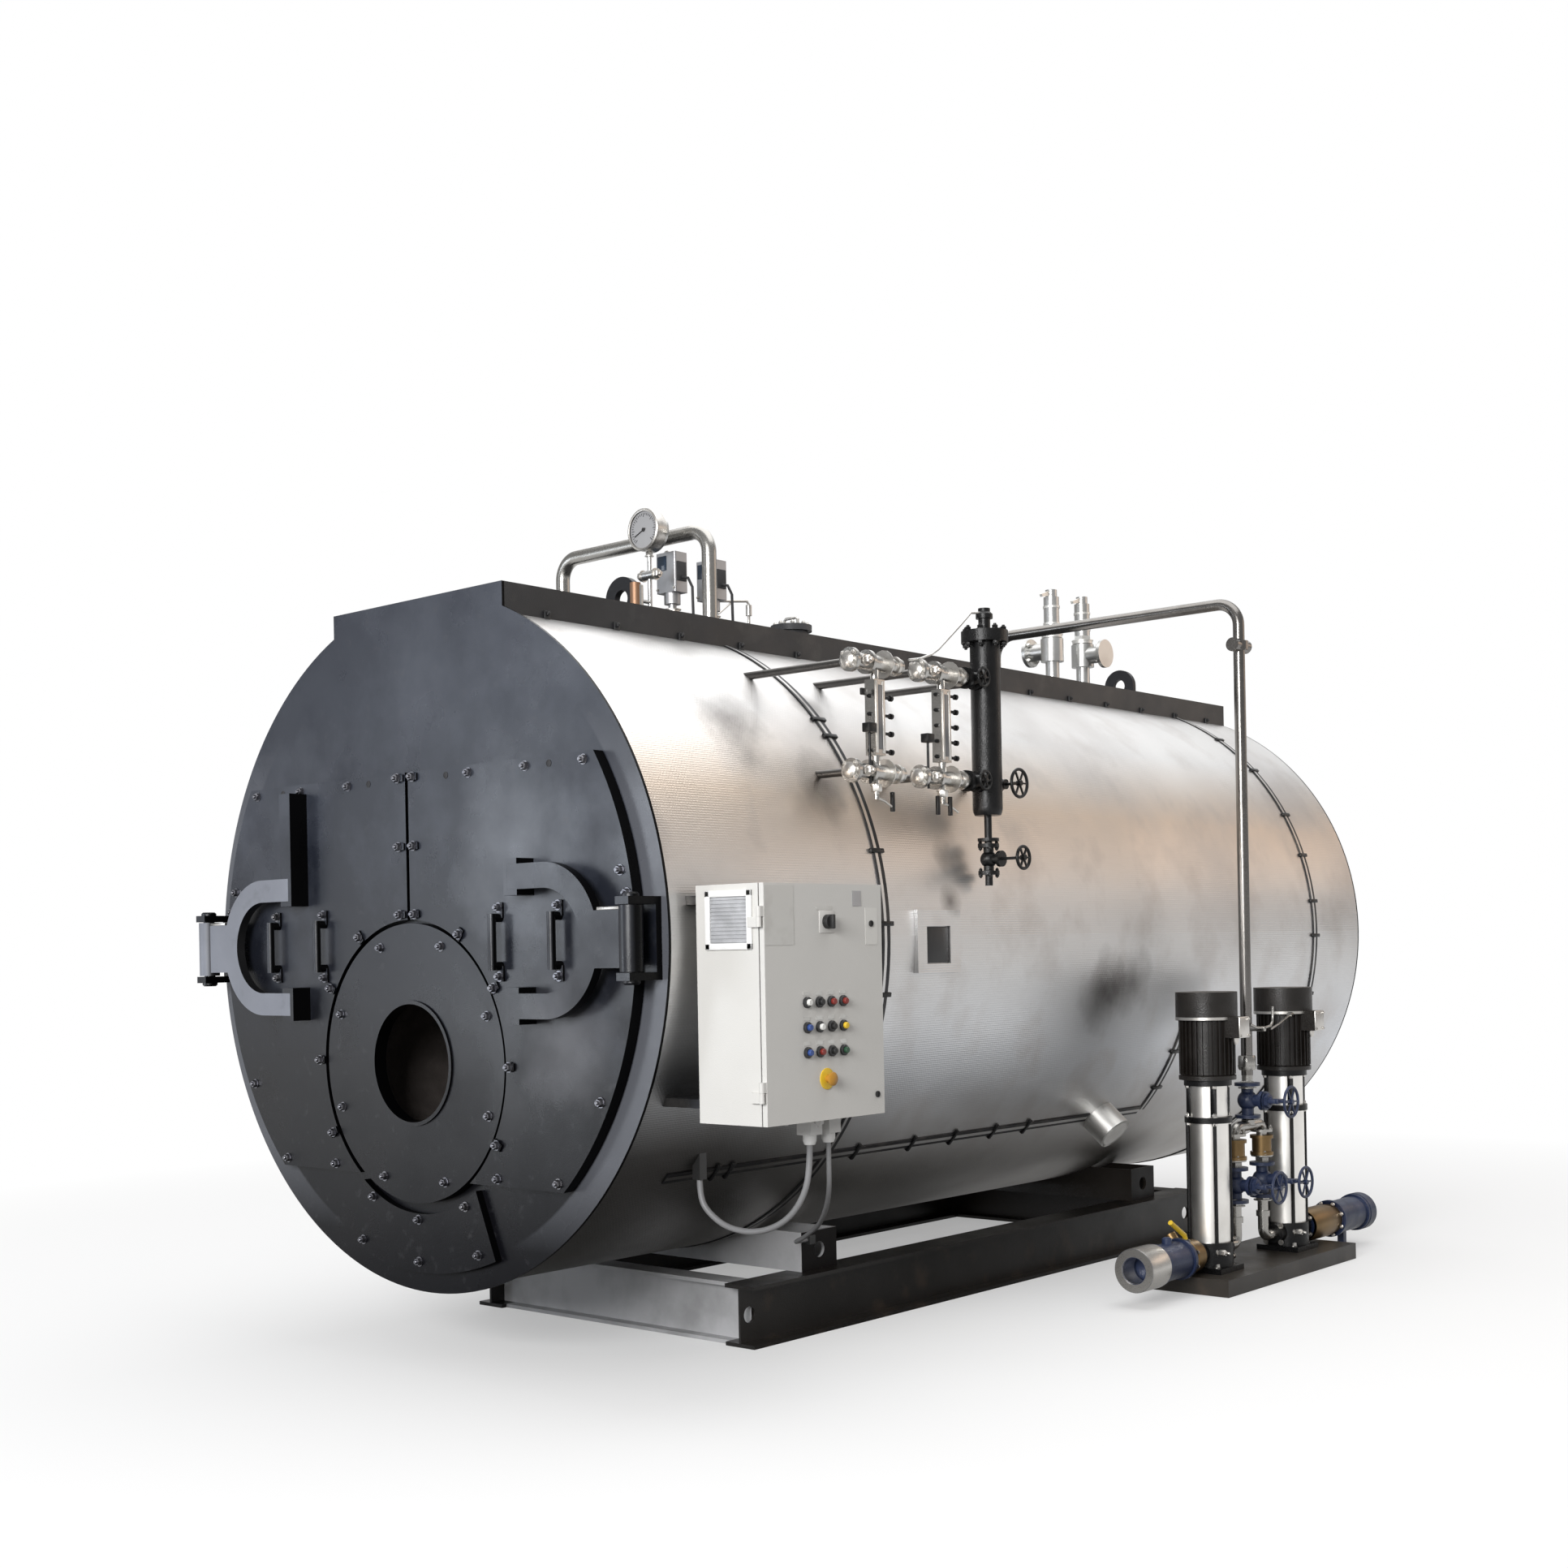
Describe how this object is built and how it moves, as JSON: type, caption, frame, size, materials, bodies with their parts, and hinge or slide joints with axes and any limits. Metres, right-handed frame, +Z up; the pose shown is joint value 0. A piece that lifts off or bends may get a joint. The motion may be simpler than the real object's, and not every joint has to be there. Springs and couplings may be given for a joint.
{
  "type": "industrial shell boiler",
  "caption": "Horizontal three-pass shell boiler with hinged front doors, walkway, gauges, control cabinet and a feed pump set on a steel base frame.",
  "frame": {"origin": "on the floor, in the boiler's middle plane, below the middle of the front cross beam", "axes": "+Z up, +Y from the boiler doors towards the rear, +X towards the side with cabinet and pumps"},
  "size_m": [3.086, 5.752, 3.465],
  "materials": {
    "blue_black_paint": "semi-gloss",
    "grey_paint": "satin",
    "cladding_sheet": "embossed, satin",
    "strap_steel": "dull",
    "walkway_paint": "satin",
    "frame_paint": "semi-gloss",
    "boiler_plate": "dull",
    "lining_board": "matt",
    "duct_paint": "satin",
    "pipe_steel": "satin",
    "gauge_steel": "satin",
    "switch_housing": "satin",
    "black_casting": "satin",
    "blue_casting": "semi-gloss",
    "bronze": "dull",
    "motor_paint": "satin",
    "cabinet_paint": "fine texture",
    "grey_rubber": "matt",
    "white_plastic": "matt"
  },
  "bodies": {
    "boiler": {"base_rails": "frame_paint", "burner_plate": "blue_black_paint", "cabinet_bars": "strap_steel", "cabinet_hinges": "cabinet_paint", "cable_glands": "white_plastic", "check_valves": "bronze", "cladding_bands": "strap_steel", "cleaning_hatch": "blue_black_paint", "column_valves": "black_casting", "control_cabinet": "cabinet_paint", "cross_beams": "frame_paint", "discharge_pipes": "pipe_steel", "discharge_valves": "blue_casting", "feed_pipe": "pipe_steel", "flue_outlet": "duct_paint", "front_plate": "blue_black_paint", "furnace_tube": "boiler_plate", "header_pipe": "pipe_steel", "hinge_brackets": "blue_black_paint", "inspection_covers": "duct_paint", "level_column": "black_casting", "level_gauges": "gauge_steel", "level_pipes": "pipe_steel", "lifting_lugs": "strap_steel", "long_cable": "grey_rubber", "plate_holder": "cladding_sheet", "pressure_gauge": "gauge_steel", "pressure_switches": "switch_housing", "pump_castings": "black_casting", "pump_motors": "motor_paint", "pump_skid": "frame_paint", "pump_stacks": "pipe_steel", "rear_plate": "blue_black_paint", "saddles": "frame_paint", "safety_valves": "gauge_steel", "shell_cladding": "cladding_sheet", "short_cable": "grey_rubber", "side_nozzle": "pipe_steel", "smoke_tubes": "boiler_plate", "suction_valves": "blue_casting", "tube_plates": "boiler_plate", "vessel_shell": "boiler_plate", "walkway": "walkway_paint"},
    "left_door": {"door_left": "blue_black_paint", "door_lining_left": "lining_board", "arm_clevises_left": "blue_black_paint", "door_handles_left": "blue_black_paint", "hinge_arm_left": "grey_paint"},
    "right_door": {"door_right": "blue_black_paint", "door_lining_right": "lining_board", "arm_clevises_right": "blue_black_paint", "door_handles_right": "blue_black_paint", "hinge_arm_right": "blue_black_paint"},
    "cabinet_door": {"cabinet_door": "cabinet_paint", "cabinet_door_knuckles": "cabinet_paint"},
    "drain_handwheel": {"drain_handwheel": "black_casting"},
    "shell_valve_handwheel": {"shell_valve_handwheel": "gauge_steel"},
    "front_stop_handwheel": {"front_stop_handwheel": "blue_casting"},
    "rear_stop_handwheel": {"rear_stop_handwheel": "blue_casting"},
    "feed_stop_handwheel": {"feed_stop_handwheel": "blue_casting"}
  },
  "joints": [
    {"name": "right_door_hinge", "type": "hinge", "parent": "boiler", "child": "right_door", "pos_m": [1.238, -1.117, 1.575], "axis": [0, 0, 1], "range_deg": [0, 110]},
    {"name": "left_door_hinge", "type": "hinge", "parent": "boiler", "child": "left_door", "pos_m": [-1.238, -1.117, 1.575], "axis": [0, 0, -1], "range_deg": [0, 110]},
    {"name": "cabinet_door_hinge", "type": "hinge", "parent": "boiler", "child": "cabinet_door", "pos_m": [1.611, -0.907, 1.352], "axis": [0, 0, -1], "range_deg": [0, 120]},
    {"name": "drain_handwheel_spin", "type": "hinge", "parent": "boiler", "child": "drain_handwheel", "pos_m": [1.486, 0.807, 1.875], "axis": [1, 0, 0], "continuous": true},
    {"name": "shell_valve_handwheel_spin", "type": "hinge", "parent": "boiler", "child": "shell_valve_handwheel", "pos_m": [1.394, 0.925, 2.181], "axis": [1, 0, 0], "continuous": true},
    {"name": "front_stop_handwheel_spin", "type": "hinge", "parent": "boiler", "child": "front_stop_handwheel", "pos_m": [1.775, 2.36, 0.425], "axis": [1, 0, 0], "continuous": true},
    {"name": "rear_stop_handwheel_spin", "type": "hinge", "parent": "boiler", "child": "rear_stop_handwheel", "pos_m": [1.775, 2.62, 0.425], "axis": [1, 0, 0], "continuous": true},
    {"name": "feed_stop_handwheel_spin", "type": "hinge", "parent": "boiler", "child": "feed_stop_handwheel", "pos_m": [1.775, 2.49, 0.8], "axis": [1, 0, 0], "continuous": true}
  ]
}
